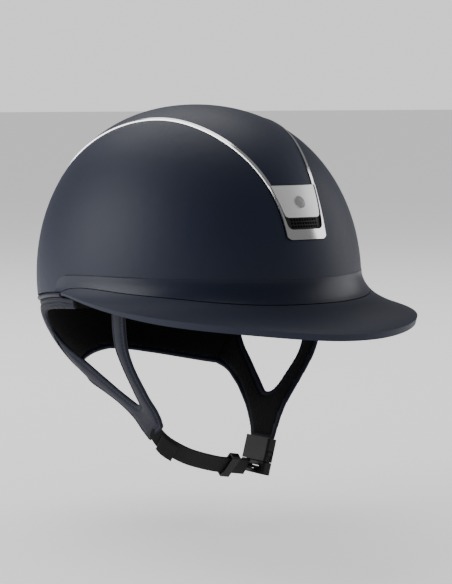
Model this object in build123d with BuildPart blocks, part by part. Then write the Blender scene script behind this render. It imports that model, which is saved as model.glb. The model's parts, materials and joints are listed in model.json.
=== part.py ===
from build123d import *
import os
from math import cos, radians, sin

# Equestrian riding helmet, in millimetres. The helmet faces -Y, +X is the wearer's left,
# +Z is up, and the origin is the middle of the shell at its widest level.

# Driving dimensions of the shell, a flattened ellipsoid
HALF_LENGTH = 133.7
HALF_WIDTH = 106.5
HEIGHT = 124.7
WALL = 3.6                # shell wall
SKIN = 1.8                # depth of the recesses that take the top panel and the brim's band
FIT = 0.1                 # glue gap round an inset piece

# Liner and head room
EPS_GAP = 0.3
EPS_HALF_LENGTH = 106.0   # the foam's inner face
EPS_HALF_WIDTH = 81.0
EPS_HEIGHT = 101.0
CUP_GAP = 0.5             # between the foam and the pull-out liner
CUP_THICKNESS = 1.2
PAD_THICKNESS = 5.0

# Trims, badge and vent on the front
TRIM_WIDTH = 2.2
TRIM_GROOVE = 0.7
TRIM_PROUD = 0.6
FRAME_PROUD = 0.9
FRAME_BOTTOM = 34.8
FRAME_TOP = 90.0          # the frame's opening tapers up to here, above the badge
FRAME_FLARE = 14.0
FRAME_CORNER = 5.0
FRAME_BAR = 2.6           # width of the frame's sides round its window
WINDOW_FLARE = 5.0
VENT_BOTTOM = 42.2
VENT_TOP = 50.0
BADGE_TOP = 71.0
FRAME_HALF_WIDTH = 16.6
STUD_HEIGHT = 60.0
STUD_RADIUS = 4.0
MESH_PITCH = 2.2
MESH_HOLE = 1.5

# Brim
BRIM_THICKNESS = 4.4
BRIM_END = 12.0           # where the brim runs out, behind the ear
SEAM = 0.5                # shadow line between the band and the brim

# Harness
NAPE_THICKNESS = 3.2
PIPING_RADIUS = 1.8
SHEET_TURN = 4.5          # degrees: the side straps come together towards the back
WEBBING_WIDTH = 15.0
WEBBING_THICKNESS = 1.8

# Buckle on the wearer's left
BUCKLE_TILT = 15.0        # degrees from vertical, in towards the chin
BUCKLE_WIDTH = 28.0
BUCKLE_DEPTH = 8.0
HOUSING_LENGTH = 17.0
LATCH_END = 26.5
RUNNING_GAP = 0.3

REACH = 160.0             # half length of a cutting prism, larger than the helmet


def write(name, part, colour):
    """Label a finished piece and write it as a STEP file."""
    part.label = name
    part.color = Color(colour)
    export_step(part, f"parts/{name}.step")


def dome(growth, length=HALF_LENGTH, width=HALF_WIDTH, height=HEIGHT, floor=-34.0):
    """Closed solid of the shell's form, grown by a distance, down to a flat floor.

    One curve makes the crown, widest at z = 0, and the slight tuck below it.
    """
    length, width, height = length + growth, width + growth, height + growth
    hem = (0.963 * length, floor)
    with BuildPart() as solid:
        with BuildSketch(Plane.XZ):
            with BuildLine():
                Bezier((0, height), (0.76 * length, height), (1.123 * length, 0.347 * height), hem)
                Polyline(hem, (0, floor), (0, height))
            make_face()
        revolve(axis=Axis.Z)
        scale(by=(width / length, 1, 1))
    return solid.part


def side_prism(outline):
    """Prism across the whole helmet from an outline in side view, (y, z), of lines and splines.

    Each entry of outline is a list of points; a list of two is a straight edge.
    """
    with BuildPart() as solid:
        with BuildSketch(Plane.YZ):
            with BuildLine():
                for points in outline:
                    if len(points) == 2:
                        Line(*points)
                    else:
                        Spline(*points)
            make_face()
        extrude(amount=REACH, both=True)
    return solid.part


def panel_prism(inset):
    """Vertical prism inside the two trim lines, seen from above, inset from the recess's edge."""
    line = [(16.9, -128), (18.2, -120), (22.6, -104), (33.4, -69), (45.2, -18)]
    line += [(57.0, 26), (64.5, 62), (65.5, 92), (62.5, 112)]
    right = [(x - inset, y) for x, y in line]
    left = [(-x, y) for x, y in right]
    with BuildPart() as solid:
        with BuildSketch(Plane.XY.offset(-40)):
            with BuildLine():
                Spline(*right)
                Polyline(right[-1], (right[-1][0] - 4, REACH), (left[-1][0] + 4, REACH), left[-1])
                Spline(*left)
                Polyline(left[0], (left[0][0], -REACH), (right[0][0], -REACH), right[0])
            make_face()
        extrude(amount=200)
    return solid.part


def front_prism(half_width, bottom, top, flare, corner):
    """Prism through the forehead: a tapered window, seen from the front, with round lower corners."""
    with BuildPart() as solid:
        with BuildSketch(Plane.XZ) as window:
            with BuildLine():
                Polyline((-half_width - flare, top), (-half_width, bottom), (half_width, bottom),
                         (half_width + flare, top), close=True)
            make_face()
            fillet(window.vertices().group_by(Axis.Y)[0], corner)
        extrude(amount=REACH)
    return solid.part


def rim_plane(degrees_round):
    """Upright plane across the shell's widest level, at an angle round from the front.

    Its x points straight out of the shell and its y points up.
    """
    angle = radians(degrees_round)
    point = Vector(HALF_WIDTH * sin(angle), -HALF_LENGTH * cos(angle))
    out = Vector(sin(angle) / HALF_WIDTH, -cos(angle) / HALF_LENGTH).normalized()
    return Plane(origin=point, x_dir=out, z_dir=out.cross(Vector(0, 0, 1)))


# Side-view outlines, (y, z), front to back: the shell's lower edge, which drops to the nape,
# the top of the brim's band, which rounds down behind the ear, and the seam under the band
SHELL_EDGE = [(-150, -9.5), (-60, -7.5), (10, -4.6), (67, -11.4), (116, -19.4), (150, -26)]
BAND_TOP = [(-150, 9.0), (-100, 9.9), (-30, 8.8), (5, 7.0), (17, 3.0), (21, -12)]
BAND_SEAM = [(-200, -8.5), (-141, -6.4), (-98, -2.8), (-50, -0.7), (0, -1.5), (10, -4.0), (24, -14)]


def lowered(points, drop):
    """The same outline, moved down."""
    return [(y, z - drop) for y, z in points]


def above(points):
    """Prism of everything over a side-view curve."""
    corners = [(points[-1][0], REACH), (points[0][0], REACH)]
    sides = [[points[-1], corners[0]], corners, [corners[1], points[0]]]
    return side_prism([points, *sides])


def below(points):
    """Prism of everything under a side-view curve."""
    corners = [(points[-1][0], -REACH), (points[0][0], -REACH)]
    sides = [[points[-1], corners[0]], corners, [corners[1], points[0]]]
    return side_prism([points, *sides])


above_shell_edge = above(SHELL_EDGE)

outer_form = dome(0)
recess_form = dome(-SKIN)
inset_form = dome(-SKIN + FIT)
inner_form = dome(-WALL)
proud_form = dome(6)


def head_form(inset):
    """The head room's form, inset by a distance: a dome with straight walls below its widest level."""
    with BuildPart() as solid:
        add(dome(-inset, EPS_HALF_LENGTH, EPS_HALF_WIDTH, EPS_HEIGHT))
        with BuildSketch():
            Ellipse(EPS_HALF_WIDTH - inset, EPS_HALF_LENGTH - inset)
        extrude(amount=-40)
    return solid.part


# The panel's recess lies inside the trim lines and above the frame's rounded foot
with BuildPart() as forehead:
    with Locations((0, -80, 10)):
        Box(120, 160, 110)
below_frame = forehead.part - front_prism(FRAME_HALF_WIDTH, FRAME_BOTTOM, FRAME_TOP, FRAME_FLARE,
                                           FRAME_CORNER)
recess_zone = panel_prism(0) - below_frame
window_zone = front_prism(FRAME_HALF_WIDTH - FRAME_BAR, VENT_BOTTOM, BADGE_TOP, WINDOW_FLARE, 4.0)
badge_line = [(-REACH, BADGE_TOP), (-40, BADGE_TOP)]
above_badge = side_prism([badge_line, [(-40, BADGE_TOP), (-40, -40)], [(-40, -40), (REACH, -40)],
                          [(REACH, -40), (REACH, REACH)], [(REACH, REACH), (-REACH, REACH)],
                          [(-REACH, REACH), (-REACH, BADGE_TOP)]])
band_zone = side_prism([BAND_TOP, [BAND_TOP[-1], (-REACH, -12)], [(-REACH, -12), BAND_TOP[0]]])


def slot_prism(height, width, length, corner, towards):
    """Rounded slot cut along Y through the front (towards = 1) or the back (-1) of the helmet."""
    with BuildPart() as slot:
        with BuildSketch(Plane.XZ):
            with Locations((0, height)):
                RectangleRounded(width, length, corner)
        extrude(amount=towards * REACH)
    return slot.part


VENT_MIDDLE = (VENT_BOTTOM + VENT_TOP) / 2
REAR_VENT_HEIGHT = 6.0
REAR_VENT_SIZE = (52.0, 13.0, 5.0)    # width, height, corner radius
front_duct = slot_prism(VENT_MIDDLE, 25, 5.6, 2, 1)
rear_vent_opening = slot_prism(REAR_VENT_HEIGHT, *REAR_VENT_SIZE, -1)
rear_duct = slot_prism(REAR_VENT_HEIGHT, 44, 7, 3, -1)

# Outer shell: the structural dome, recessed for the panel, the frame and the band
with BuildPart() as outer_shell:
    add(outer_form)
    add(inner_form, mode=Mode.SUBTRACT)
    add(above_shell_edge, mode=Mode.INTERSECT)
    add((proud_form - recess_form) & recess_zone, mode=Mode.SUBTRACT)
    add((proud_form - recess_form) & band_zone, mode=Mode.SUBTRACT)
    add(front_duct, mode=Mode.SUBTRACT)
    add(rear_duct, mode=Mode.SUBTRACT)
write("outer_shell", outer_shell.part, "midnightblue")

# Top panel: the inset skin between the trims, from above the badge to the nape
with BuildPart() as top_panel:
    add(outer_form)
    add(inset_form, mode=Mode.SUBTRACT)
    add(panel_prism(TRIM_GROOVE + TRIM_WIDTH + FIT), mode=Mode.INTERSECT)
    add(above_badge, mode=Mode.INTERSECT)
    add(above_shell_edge, mode=Mode.INTERSECT)
    add(rear_vent_opening, mode=Mode.SUBTRACT)
write("top_panel", top_panel.part, "navy")

# Trims: a polished strip down each side of the panel
trim_form = dome(TRIM_PROUD) - inset_form
trim_pair = trim_form & (panel_prism(TRIM_GROOVE) - panel_prism(TRIM_GROOVE + TRIM_WIDTH))
trim_pair = trim_pair & above_shell_edge & above_badge
for name, side in (("left_trim", Axis.X), ("right_trim", -Axis.X)):
    with BuildPart() as trim:
        add(trim_pair.solids().sort_by(side)[-1])
    write(name, trim.part, "silver")

# Front frame: the polished bezel round the badge and the vent, closed at the foot
frame_outline = front_prism(FRAME_HALF_WIDTH - TRIM_GROOVE, FRAME_BOTTOM + TRIM_GROOVE, FRAME_TOP,
                            FRAME_FLARE, FRAME_CORNER - 0.4)
with BuildPart() as front_frame:
    add(dome(FRAME_PROUD) - inset_form)
    add(panel_prism(TRIM_GROOVE), mode=Mode.INTERSECT)
    add(frame_outline, mode=Mode.INTERSECT)
    add(above_badge, mode=Mode.SUBTRACT)
    add(window_zone, mode=Mode.SUBTRACT)
write("front_frame", front_frame.part, "silver")

# Badge plate: a blank metal plate that fills the upper part of the frame's window
badge_zone = front_prism(FRAME_HALF_WIDTH - FRAME_BAR + FIT, VENT_TOP, BADGE_TOP - FIT,
                         WINDOW_FLARE - 1, 3.0)
with BuildPart() as badge_plate:
    add(dome(0.5) - inset_form)
    add(badge_zone, mode=Mode.INTERSECT)
    with Locations(Plane.XZ):
        with Locations((0, STUD_HEIGHT, 100)):
            Cylinder(STUD_RADIUS, 80, mode=Mode.SUBTRACT)
write("badge_plate", badge_plate.part, "lightgray")

# Badge stud: a plain round stud set in the plate
with BuildPart() as badge_stud:
    add(dome(1.0) - inset_form)
    with Locations(Plane.XZ):
        with Locations((0, STUD_HEIGHT, 100)):
            Cylinder(STUD_RADIUS - FIT, 80, mode=Mode.INTERSECT)
write("badge_stud", badge_stud.part, "gray")

# Vent mesh behind the window's lower part, a thin grille of small openings
vent_zone = front_prism(FRAME_HALF_WIDTH - FRAME_BAR - 0.2, VENT_BOTTOM + FIT, VENT_TOP - 0.2, 1.3, 4.2)
with BuildPart() as vent_mesh:
    add(dome(-0.5) - dome(-1.6))
    add(vent_zone, mode=Mode.INTERSECT)
    with BuildSketch(Plane.XZ):
        with Locations((0, VENT_MIDDLE)):
            with GridLocations(MESH_PITCH, MESH_PITCH, 10, 3):
                Rectangle(MESH_HOLE, MESH_HOLE)
    extrude(amount=REACH, mode=Mode.SUBTRACT)
write("vent_mesh", vent_mesh.part, "black")

# Rear vent: a louvred grille low at the back, where the air leaves
with BuildPart() as rear_vent_grille:
    add(dome(0.4) - inset_form)
    width, height, corner = REAR_VENT_SIZE
    add(slot_prism(REAR_VENT_HEIGHT, width - 4 * FIT, height - 4 * FIT, corner - 2 * FIT, -1),
        mode=Mode.INTERSECT)
    with BuildSketch(Plane.XZ):
        with Locations((0, REAR_VENT_HEIGHT)):
            with GridLocations(7.2, 1, 6, 1):
                SlotOverall(8.0, 3.2, rotation=90)
    extrude(amount=-REACH, mode=Mode.SUBTRACT)
write("rear_vent_grille", rear_vent_grille.part, "black")

# Brim and band, made as one flared body and parted at the seam. Each station is: degrees
# round the shell, reach and height of the brim's edge, reach and height of the seam, and
# the height where the underside meets the shell.
STATIONS = [
    (0, 58.6, -21.9, 7.2, -6.4, -12.5),
    (15, 54.0, -19.8, 7.6, -5.6, -12.0),
    (30, 42.5, -16.7, 7.4, -4.1, -11.0),
    (45, 28.2, -14.7, 5.2, -2.8, -10.0),
    (60, 15.9, -12.7, 2.4, -1.3, -9.5),
    (75, 7.2, -9.8, 0.9, -0.5, -9.0),
    (88, 2.2, -6.6, 0.4, -1.3, -8.0),
    (101, 0.9, -6.4, 0.3, -3.5, -8.6),
]


def brim_section(place, reach, drop, seam_reach, seam_height, base):
    """Section across the brim at one station: flared top, blunt edge and hollow underside."""
    thickness = min(BRIM_THICKNESS, 1.6 + 0.12 * reach)
    middle = (seam_reach + 0.45 * (reach - seam_reach), seam_height + 0.62 * (drop - seam_height))
    tip, lip = (reach, drop), (reach - 0.25 * thickness, drop - thickness)
    hollow = (0.4 * reach, base + 0.25 * (drop - thickness - base))
    with BuildSketch(rim_plane(place)) as section:
        with BuildLine():
            Spline((0.15, 11), (0.2, 8.0), (seam_reach, seam_height), middle, tip)
            Line(tip, lip)
            Bezier(lip, hollow, (-1.0, base))
            Polyline((-1.0, base), (-3, base), (-3, 11), (0.15, 11))
        make_face()
    return section.sketch


right_half = [brim_section(-place, *sizes) for place, *sizes in reversed(STATIONS[1:])]
left_half = [brim_section(place, *sizes) for place, *sizes in STATIONS]
with BuildPart() as visor:
    add(right_half + left_half)
    loft()
    add(inset_form, mode=Mode.SUBTRACT)

with BuildPart() as brim_band:
    add(visor.part)
    add(band_zone, mode=Mode.INTERSECT)
    add(above(BAND_SEAM), mode=Mode.INTERSECT)
    add(above_shell_edge, mode=Mode.INTERSECT)
write("brim_band", brim_band.part, "midnightblue")

with BuildPart() as brim:
    add(visor.part)
    add(below(lowered(BAND_SEAM, SEAM)), mode=Mode.INTERSECT)
    with Locations((0, BRIM_END + REACH, 0)):
        Box(2 * REACH, 2 * REACH, 2 * REACH, mode=Mode.SUBTRACT)
write("brim", brim.part, "midnightblue")

# Foam liner: fills the shell down to its edge, with ducts for both vents, pockets for the
# front straps' anchors and a rebate for the nape carrier
ANCHOR_PLACE = (86.2, -29, -1.5)
ANCHOR_SIZE = (9.6, 28, 13)
ANCHOR_SLOT = (7.6, 20.6, 12)
ANCHOR_SLOT_X = 85.9
ANCHOR_BAR_RADIUS = 1.4
CARRIER_OUTER, CARRIER_INNER = -5.6, -7.2
carrier_ring = dome(CARRIER_OUTER + FIT) - dome(CARRIER_INNER - FIT)
behind_ears = Location((0, 20 + REACH, 0)) * Box(2 * REACH, 2 * REACH, 2 * REACH)

with BuildPart() as eps_liner:
    add(dome(-WALL - EPS_GAP))
    add(head_form(0), mode=Mode.SUBTRACT)
    add(above(lowered(SHELL_EDGE, -1.5)), mode=Mode.INTERSECT)
    add(front_duct, mode=Mode.SUBTRACT)
    add(rear_duct, mode=Mode.SUBTRACT)
    add((carrier_ring & behind_ears) & below(lowered(SHELL_EDGE, -8.2)), mode=Mode.SUBTRACT)
    for side in (-1, 1):
        with Locations((side * (ANCHOR_PLACE[0] - 2), ANCHOR_PLACE[1], ANCHOR_PLACE[2] - 2)):
            Box(ANCHOR_SIZE[0] + 4.6, ANCHOR_SIZE[1] + 0.6, ANCHOR_SIZE[2] + 4.6, mode=Mode.SUBTRACT)
write("eps_liner", eps_liner.part, "dimgray")

# Pull-out comfort liner: a cloth cup with pads sewn inside it
CUP_EDGE = [(-150, -10.5), (-60, -9), (10, -8), (67, -13.5), (116, -21), (150, -27)]
PAD_TOP = 26.0
with BuildPart() as liner_cup:
    add(head_form(CUP_GAP))
    add(head_form(CUP_GAP + CUP_THICKNESS), mode=Mode.SUBTRACT)
    add(above(CUP_EDGE), mode=Mode.INTERSECT)
write("liner_cup", liner_cup.part, "dimgray")

pad_ring = head_form(CUP_GAP + CUP_THICKNESS + FIT)
pad_ring -= head_form(CUP_GAP + CUP_THICKNESS + PAD_THICKNESS)
pad_ring &= above(lowered(CUP_EDGE, -1))
low_ring = pad_ring & (Location((0, 0, PAD_TOP - REACH)) * Box(2 * REACH, 2 * REACH, 2 * REACH))
for name, start, sweep in (("brow_pad", 218, 104), ("left_side_pad", -36, 66),
                           ("nape_pad", 32, 116), ("right_side_pad", 150, 66)):
    with BuildPart() as pad:
        with BuildSketch(Plane.XY.offset(-40)):
            with BuildLine():
                arc = CenterArc((0, 0), 2 * REACH, start, sweep)
                Polyline(arc @ 0, (0, 0), arc @ 1)
            make_face()
        extrude(amount=100)
        add(low_ring, mode=Mode.INTERSECT)
    write(name, pad.part, "black")

with BuildPart() as crown_pad:
    with BuildSketch(Plane.XY.offset(40)):
        Ellipse(42, 60)
        Rectangle(6, 124, mode=Mode.SUBTRACT)
    extrude(amount=80)
    add(pad_ring, mode=Mode.INTERSECT)
write("crown_pad", crown_pad.part, "black")

# Harness. The side straps lie in a curved sheet, drawn here in front view, (x, z), that
# falls straight from the shell and then closes in under the jaw.
SHEET = [(85.5, 2), (84.5, -32), (79, -53), (66, -75), (53, -95), (43, -126)]
SHEET_HALF = 1.8          # half the straps' thickness, across the helmet
SHEET_ORIGIN = -30        # where along Y the sheet is turned about

sheet_turn = radians(SHEET_TURN)
sheet_x = Vector(cos(sheet_turn), sin(sheet_turn))
sheet_plane = Plane(origin=(0, SHEET_ORIGIN, 0), x_dir=sheet_x, z_dir=sheet_x.cross(Vector(0, 0, 1)))
with BuildPart() as side_sheet:
    with BuildSketch(sheet_plane):
        with BuildLine():
            inner = Spline(*[(x - SHEET_HALF, z) for x, z in SHEET])
            outer = Spline(*[(x + SHEET_HALF, z) for x, z in SHEET])
            Line(inner @ 0, outer @ 0)
            Line(inner @ 1, outer @ 1)
        make_face()
    extrude(amount=130, both=True)


def strap(name, outline, side):
    """Write one side strap: its side-view outline cut from the sheet, on the left or right."""
    with BuildPart() as piece:
        add(side_prism(outline))
        add(side_sheet.part, mode=Mode.INTERSECT)
        if side < 0:
            mirror(about=Plane.YZ, mode=Mode.REPLACE)
    write(name, piece.part, "midnightblue")


FRONT_EDGE = [(-37.3, -1), (-37.3, -40), (-37, -60), (-35.2, -78.4)]
FRONT_BACK = [(-17.2, -78.4), (-21.4, -57), (-20.2, -40), (-20, -1)]
REAR_TOP = [(62.2, -36.5), (57.2, -43), (47.8, -51), (35.6, -59), (22.7, -67), (13, -73)]
REAR_FOOT = [(21, -86.6), (31.8, -80.5), (44, -74.5), (55.4, -68.6)]
CROTCH = [(12.6, -73.4), (-3.4, -83), (-9, -85.4), (-14.6, -83.6), (-17.1, -78.9)]
YOKE_FRONT = [(-35.2, -78.9), (-34.6, -90), (-33, -99.5)]
YOKE_BACK = [(-9, -112), (-1, -105.5), (6.5, -97), (20.6, -87)]
YOKE_BACK_LONG = [(-8, -114.9), (-3.5, -109), (6.5, -97), (20.6, -87)]

for side, prefix in ((1, "left"), (-1, "right")):
    strap(f"{prefix}_front_strap",
          [FRONT_EDGE, [FRONT_EDGE[-1], FRONT_BACK[0]], FRONT_BACK, [FRONT_BACK[-1], FRONT_EDGE[0]]], side)
    strap(f"{prefix}_rear_strap",
          [REAR_TOP, [REAR_TOP[-1], REAR_FOOT[0]], REAR_FOOT, [REAR_FOOT[-1], REAR_TOP[0]]], side)
    front, back = YOKE_FRONT, YOKE_BACK
    if side > 0:
        front, back = [*YOKE_FRONT[:2], (-32, -114.9)], YOKE_BACK_LONG
    strap(f"{prefix}_yoke",
          [CROTCH, [CROTCH[-1], front[0]], front, [front[-1], back[0]], back, [back[-1], CROTCH[0]]], side)

    # Anchor block in the foam, with the slot that takes the front strap and a bar across it
    with BuildPart() as anchor:
        with Locations((side * ANCHOR_PLACE[0], ANCHOR_PLACE[1], ANCHOR_PLACE[2])):
            Box(*ANCHOR_SIZE)
        with Locations((side * ANCHOR_SLOT_X, ANCHOR_PLACE[1], -3)):
            Box(*ANCHOR_SLOT, mode=Mode.SUBTRACT)
    write(f"{prefix}_strap_anchor", anchor.part, "black")
    with BuildPart() as bar:
        with Locations((side * ANCHOR_SLOT_X, ANCHOR_PLACE[1], 1.2)):
            Cylinder(ANCHOR_BAR_RADIUS, ANCHOR_SLOT[1] - 1.4, rotation=(90, 0, 0))
    write(f"{prefix}_anchor_bar", bar.part, "silver")

# Nape band: a padded strap round the back, hung below the shell's edge. Levels of its outer
# form are (height, half width, half length).
NAPE_LEVELS = [(-4, 106, 133), (-20, 104.5, 131), (-32, 99.5, 129.5), (-44, 92, 126),
               (-56, 82.5, 119.5), (-72, 68.5, 108)]
PIPING_GAP = 0.3
NAPE_DROP = 2 * PIPING_RADIUS + 2 * PIPING_GAP
NAPE_INNER = [(-4, -15.5), (30, -18.5), (50, -22), (60, -27), (62.6, -35.7)]
NAPE_FOOT = [(55.9, -68.4), (90, -68.5), (150, -60)]


def nape_form(inset):
    """Solid of the nape band's outer form, inset by a distance."""
    with BuildPart() as solid:
        for level, half_width, half_length in NAPE_LEVELS:
            with BuildSketch(Plane.XY.offset(level)):
                Ellipse(half_width - inset, half_length - inset)
        loft()
    return solid.part


nape_zone = side_prism([NAPE_INNER, [NAPE_INNER[-1], NAPE_FOOT[0]], NAPE_FOOT,
                        [NAPE_FOOT[-1], (150, 10)], [(150, 10), (-4, 10)], [(-4, 10), NAPE_INNER[0]]])
with BuildPart() as nape_band:
    add(nape_form(0))
    add(nape_form(NAPE_THICKNESS), mode=Mode.SUBTRACT)
    add(nape_zone, mode=Mode.INTERSECT)
    add(below(lowered(SHELL_EDGE, NAPE_DROP)), mode=Mode.INTERSECT)
write("nape_band", nape_band.part, "midnightblue")

# Piping roll in the joint between the shell's edge and the nape band
behind_brim = Location((0, BRIM_END + 1 + REACH, 0)) * Box(2 * REACH, 2 * REACH, 2 * REACH)
with BuildPart() as edge_piping:
    add(dome(1.0) - dome(-2.6))
    add(below(lowered(SHELL_EDGE, PIPING_GAP)), mode=Mode.INTERSECT)
    add(above(lowered(SHELL_EDGE, PIPING_GAP + 2 * PIPING_RADIUS)), mode=Mode.INTERSECT)
    add(behind_brim, mode=Mode.INTERSECT)
write("edge_piping", edge_piping.part, "midnightblue")

# Nape carrier: the moulded strip that holds the nape band, seated in the foam's rebate
carrier_reach = Location((0, 20.3 + REACH, 0)) * Box(2 * REACH, 2 * REACH, 2 * REACH)
with BuildPart() as nape_carrier:
    add(dome(CARRIER_OUTER) - dome(CARRIER_INNER))
    add(below(lowered(SHELL_EDGE, -8)), mode=Mode.INTERSECT)
    add(above(lowered(SHELL_EDGE, 10)), mode=Mode.INTERSECT)
    add(carrier_reach, mode=Mode.INTERSECT)
write("nape_carrier", nape_carrier.part, "black")

# Chin webbing: (x, z) of its middle line in front view, from the right yoke under the chin to
# the buckle. Its width leans forward.
WEBBING_LINE = [(-44.8, -109.5), (-37, -116), (-20, -124.8), (2, -131.8)]
WEBBING_END = (28.0, -136.6)
WEBBING_PLACE = -20
LEAN = Vector(0, -0.6, 0.8)
LEAN_THICKNESS = WEBBING_THICKNESS / 0.6
along = Vector(WEBBING_END[0] - WEBBING_LINE[-1][0], 0, WEBBING_END[1] - WEBBING_LINE[-1][1]).normalized()


def webbing_strip(line, drop, straight_end=None):
    """Strip of webbing along a front-view line, lowered by a distance."""
    half = LEAN_THICKNESS / 2
    with BuildPart() as strip:
        with BuildSketch(Plane.XZ.offset(-WEBBING_PLACE)):
            with BuildLine():
                ends = []
                for rise in (half, -half):
                    points = [(x, z - drop + rise) for x, z in line]
                    tangents = [(1, -1), (along.X, along.Z)] if straight_end else ()
                    Spline(*points, tangents=tangents)
                    last = points[-1]
                    if straight_end:
                        last = (straight_end[0], straight_end[1] - drop + rise)
                        Line(points[-1], last)
                    ends.append((points[0], last))
                Line(ends[0][0], ends[1][0])
                Line(ends[0][1], ends[1][1])
            make_face()
        extrude(amount=WEBBING_WIDTH / 2, dir=LEAN, both=True)
    return strip.part


write("chin_webbing", webbing_strip(WEBBING_LINE, 0, WEBBING_END), "black")
TAIL_LINE = [(-45.5, -109), (-41, -113), (-33.5, -118.2)]
write("webbing_tail", webbing_strip(TAIL_LINE, LEAN_THICKNESS + 0.3), "black")

# Keeper: a loop that slides along the webbing's straight run
KEEPER_LENGTH = 7.0
KEEPER_WALL = 1.2
KEEPER_X = 15.0
keeper_drop = (KEEPER_X - WEBBING_LINE[-1][0]) * along.Z / along.X
keeper_place = Vector(KEEPER_X, WEBBING_PLACE, WEBBING_LINE[-1][1] + keeper_drop)
width_way = (LEAN - along * LEAN.dot(along)).normalized()
keeper_plane = Plane(origin=keeper_place, x_dir=width_way, z_dir=along)
with BuildPart() as strap_keeper:
    with BuildSketch(keeper_plane):
        inside = (WEBBING_WIDTH + 2.4, WEBBING_THICKNESS + 1.8)
        RectangleRounded(inside[0] + 2 * KEEPER_WALL, inside[1] + 2 * KEEPER_WALL, 1.4)
        Rectangle(*inside, mode=Mode.SUBTRACT)
    extrude(amount=KEEPER_LENGTH / 2, both=True)
write("strap_keeper", strap_keeper.part, "black")

# Magnetic buckle: the latch's rail slides sideways, forwards, out of the housing's channel.
# Local x runs along Y, local y points outwards and local z points down the strap.
tilt = radians(BUCKLE_TILT)
buckle_down = Vector(-sin(tilt), 0, -cos(tilt))
BUCKLE_TOP = (44.3, -20, -116.5)
buckle_plane = Plane(origin=BUCKLE_TOP, x_dir=(0, 1, 0), z_dir=buckle_down)
STOP_WALL = 3.0
HEAD = (9.4, 12.8, 4.6)     # rail head: from, to, thickness
NECK = 1.8
MAGNET = (9.0, 4.0)         # pocket for the housing's magnet: length, depth
SLOT = (20.6, 23.6)         # the latch's slot for the webbing: from, to
channel_length = BUCKLE_WIDTH - STOP_WALL
channel_middle = -STOP_WALL / 2


def slab(start, end, length, depth, shift=0.0, corner=0.0):
    """Block in the buckle's frame between two distances down the strap."""
    with BuildPart() as block:
        with BuildSketch(buckle_plane.offset(start)):
            with Locations((shift, 0)):
                if corner:
                    RectangleRounded(length, depth, corner)
                else:
                    Rectangle(length, depth)
        extrude(amount=end - start)
    return block.part


gap = RUNNING_GAP
with BuildPart() as buckle_housing:
    add(slab(0, HOUSING_LENGTH, BUCKLE_WIDTH, BUCKLE_DEPTH, corner=2.0))
    add(slab(-1, 4.5, 25, 4.4), mode=Mode.SUBTRACT)
    add(slab(HEAD[0] - gap, HEAD[1] + gap, channel_length, HEAD[2] + 2 * gap, channel_middle),
        mode=Mode.SUBTRACT)
    add(slab(HEAD[1], HOUSING_LENGTH + 1, channel_length, NECK + 2 * gap, channel_middle),
        mode=Mode.SUBTRACT)
    add(slab(6.2, 8.2, *MAGNET), mode=Mode.SUBTRACT)
write("buckle_housing", buckle_housing.part, "black")

with BuildPart() as buckle_latch:
    rail = channel_length - 2 * gap
    add(slab(HEAD[0], HEAD[1], rail, HEAD[2], channel_middle))
    add(slab(HEAD[1], HOUSING_LENGTH + 1, rail, NECK, channel_middle))
    add(slab(HOUSING_LENGTH + gap, LATCH_END, BUCKLE_WIDTH, BUCKLE_DEPTH, corner=2.0))
    add(slab(*SLOT, WEBBING_WIDTH + 2, BUCKLE_DEPTH + 2), mode=Mode.SUBTRACT)
    add(slab(HEAD[0] + 0.7, HEAD[1] - 0.7, MAGNET[0], 3.2), mode=Mode.SUBTRACT)
write("buckle_latch", buckle_latch.part, "black")

write("buckle_tab", slab(-1.2, 4.3, 24, 2.0), "black")
write("housing_magnet", slab(6.25, 8.15, 8.9, 3.9), "gray")
write("latch_magnet", slab(HEAD[0] + 0.75, HEAD[1] - 0.75, 8.9, 3.1), "gray")

# Webbing loop: the webbing's end, flat round the latch's bar
with BuildPart() as webbing_loop:
    with BuildSketch(buckle_plane.offset(21.2)):
        with Locations((0, -1.6)):
            Rectangle(WEBBING_WIDTH, 11.6)
    extrude(amount=WEBBING_THICKNESS)
write("webbing_loop", webbing_loop.part, "black")
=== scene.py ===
"""Looks of a wide-brimmed riding helmet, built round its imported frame.

The file is laid out as an add-on and is run as a script. Sizes are in metres, the helmet faces
-Y, +X is the wearer's left and +Z is up.
"""

import json
import math

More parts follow.
